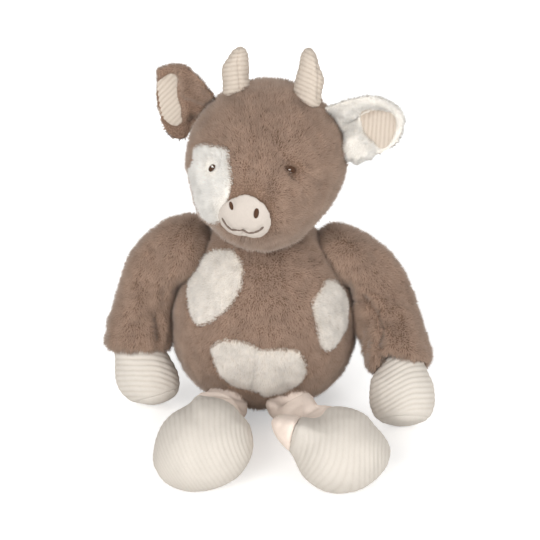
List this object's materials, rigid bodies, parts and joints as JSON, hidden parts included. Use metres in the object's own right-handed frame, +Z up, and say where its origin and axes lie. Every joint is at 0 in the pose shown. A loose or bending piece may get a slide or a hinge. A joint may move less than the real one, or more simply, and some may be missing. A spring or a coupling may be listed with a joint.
{
  "type": "plush cow",
  "caption": "Seated plush cow with a turning and nodding head, floppy ears, swinging arms, lifting legs and a wagging tail.",
  "frame": {"origin": "middle of the flat seat, on the floor", "axes": "+Z up, -Y towards the toy's front, +X towards the toy's own left"},
  "size_m": [0.2219, 0.2714, 0.2562],
  "materials": {
    "brown_fur": "curly pile",
    "cream_fur": "curly pile",
    "white_fur": "short pile",
    "corduroy": "ribbed",
    "muzzle_velour": "smooth nap",
    "leg_velour": "smooth nap",
    "fibre_filling": "loose fibre",
    "pellet_bag_cloth": "plain weave",
    "brown_thread": "satin stitch",
    "grey_thread": "stitch"
  },
  "bodies": {
    "body": {"body_skin": "brown_fur", "patch_chest": "cream_fur", "patch_flank": "cream_fur", "patch_belly": "cream_fur", "body_stuffing": "fibre_filling", "pellet_bag": "pellet_bag_cloth"},
    "neck": {"neck_stuffing": "fibre_filling"},
    "head": {"head_skin": "brown_fur", "head_stuffing": "fibre_filling", "eye_patch": "white_fur", "muzzle": "muzzle_velour", "nostril_right": "brown_thread", "nostril_left": "brown_thread", "mouth": "grey_thread", "eye_right": "brown_thread", "eye_left": "brown_thread", "horn_right": "corduroy", "horn_left": "corduroy"},
    "right_ear": {"ear_right": "brown_fur", "ear_lining_right": "corduroy"},
    "left_ear": {"ear_left": "cream_fur", "ear_lining_left": "corduroy"},
    "right_arm": {"arm_right": "brown_fur", "hand_right": "corduroy", "hand_sole_right": "corduroy"},
    "left_arm": {"arm_left": "brown_fur", "hand_left": "corduroy", "hand_sole_left": "corduroy"},
    "right_leg": {"leg_right": "leg_velour", "foot_right": "corduroy"},
    "left_leg": {"leg_left": "leg_velour", "foot_left": "corduroy"},
    "tail": {"tail": "brown_fur", "tail_tuft": "cream_fur"}
  },
  "joints": [
    {"name": "head_turn", "type": "hinge", "parent": "body", "child": "neck", "pos_m": [0, 0, 0.12], "axis": [0, 0, 1], "range_deg": [-30, 30], "stiffness_Nm_per_rad": 0.2},
    {"name": "head_nod", "type": "hinge", "parent": "neck", "child": "head", "pos_m": [0, 0, 0.12], "axis": [0.9816, -0.1908, 0], "range_deg": [-15, 12], "stiffness_Nm_per_rad": 0.25},
    {"name": "ear_right_flop", "type": "hinge", "parent": "head", "child": "right_ear", "pos_m": [-0.03942, 0.00496, 0.2039], "axis": [-0.7212, 0.4038, -0.5628], "range_deg": [-20, 20], "stiffness_Nm_per_rad": 0.004},
    {"name": "ear_left_flop", "type": "hinge", "parent": "head", "child": "left_ear", "pos_m": [0.04751, -0.01242, 0.20274], "axis": [-0.2617, -0.0909, 0.9609], "range_deg": [-20, 20], "stiffness_Nm_per_rad": 0.004},
    {"name": "arm_right_swing", "type": "hinge", "parent": "body", "child": "right_arm", "pos_m": [-0.055, 0.002, 0.106], "axis": [-1, 0, 0], "range_deg": [-25, 100]},
    {"name": "arm_left_swing", "type": "hinge", "parent": "body", "child": "left_arm", "pos_m": [0.055, 0.002, 0.106], "axis": [-1, 0, 0], "range_deg": [-25, 100]},
    {"name": "leg_right_lift", "type": "hinge", "parent": "body", "child": "right_leg", "pos_m": [-0.027, -0.048, 0.022], "axis": [-1, 0, 0], "range_deg": [-10, 20], "stiffness_Nm_per_rad": 0.1},
    {"name": "leg_left_lift", "type": "hinge", "parent": "body", "child": "left_leg", "pos_m": [0.019, -0.048, 0.022], "axis": [-1, 0, 0], "range_deg": [-10, 20], "stiffness_Nm_per_rad": 0.1},
    {"name": "tail_wag", "type": "hinge", "parent": "body", "child": "tail", "pos_m": [0, 0.06196, 0.04], "axis": [0, 0, 1], "range_deg": [-30, 30], "stiffness_Nm_per_rad": 0.01}
  ]
}
